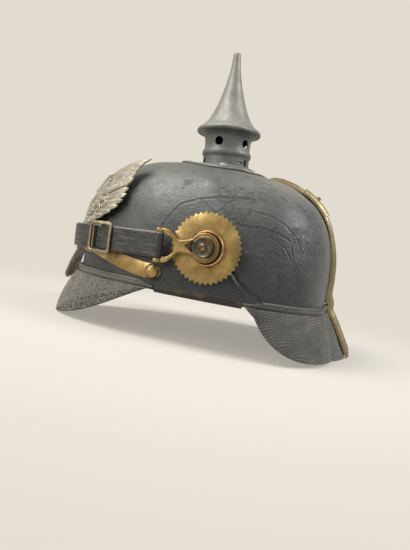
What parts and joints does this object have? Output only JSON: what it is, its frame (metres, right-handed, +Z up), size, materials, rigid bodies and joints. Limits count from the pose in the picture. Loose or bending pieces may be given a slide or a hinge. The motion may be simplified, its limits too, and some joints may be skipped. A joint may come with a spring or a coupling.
{
  "type": "military helmet",
  "caption": "Spiked leather military helmet with white-metal eagle plate, brass side rosettes, chin strap, rear spine with air slider, and a lift-off bayonet spike",
  "frame": {"origin": "Middle of the helmet's outline seen from above, on the table under the two visor edges that it stands on.", "axes": "+Z is up, +X is the wearer's left, and the wearer looks along -Y."},
  "size_m": [0.1958, 0.2553, 0.2401],
  "materials": {
    "skull_leather": "black lacquered leather, cracked and worn to a soft sheen",
    "visor_leather": "black pebbled leather, wrinkled, half matt",
    "binding_leather": "olive-brown folded leather binding with yellowed stains",
    "lining_leather": "matt tan lining leather",
    "strap_leather": "blackened strap leather with worn pale edges",
    "steel_grey": "matt grey paint on steel",
    "plain_steel": "plain dull steel",
    "white_metal": "dull silvered pressed plate",
    "brass": "aged brass, half polished",
    "bronze": "darkened brass"
  },
  "bodies": {
    "shell": {"skull": "skull_leather", "front_visor": "visor_leather", "rear_visor": "visor_leather", "rim_binding": "binding_leather", "sweatband": "lining_leather", "lining_tongues": "lining_leather", "base_plate": "steel_grey", "spike_collar": "steel_grey", "plate_studs": "steel_grey", "plate_stud_nuts": "plain_steel", "rear_spine": "brass", "spine_prongs": "brass", "front_plate": "white_metal", "front_plate_studs": "white_metal", "front_plate_nuts": "plain_steel", "brow_band": "brass", "brow_band_rivets": "brass", "cockade_left": "brass", "cockade_right": "brass", "side_post_left": "bronze", "side_post_right": "bronze", "side_post_nuts": "plain_steel"},
    "spike": {"spike_neck": "steel_grey", "spike_point": "steel_grey", "bayonet_lugs": "steel_grey"},
    "slider": {"air_slider": "brass", "slider_knob": "brass"},
    "strap": {"chin_strap": "strap_leather", "strap_hook_left": "brass", "strap_hook_right": "brass"},
    "buckle_l": {"buckle_left": "bronze"},
    "buckle_r": {"buckle_right": "bronze"}
  },
  "joints": [
    {"name": "spike_twist", "type": "hinge", "parent": "shell", "child": "spike", "pos_m": [0, -0.0035, 0.143], "axis": [0, -0.0628, 0.998], "range_deg": [0, 22]},
    {"name": "air_slider_slide", "type": "hinge", "parent": "shell", "child": "slider", "pos_m": [0, 0.04203, 0.08107], "axis": [-1, 0, 0], "range_deg": [0, 13]},
    {"name": "strap_swing", "type": "hinge", "parent": "shell", "child": "strap", "pos_m": [0, -0.003, 0.0722], "axis": [-1, 0, 0], "range_deg": [0, 35]},
    {"name": "buckle_left_slide", "type": "slide", "parent": "strap", "child": "buckle_l", "axis": [0.4226, 0.9056, 0.0348], "range_m": [0, 0.024]},
    {"name": "buckle_right_slide", "type": "slide", "parent": "strap", "child": "buckle_r", "axis": [-0.4226, 0.9056, 0.0348], "range_m": [0, 0.024]}
  ]
}
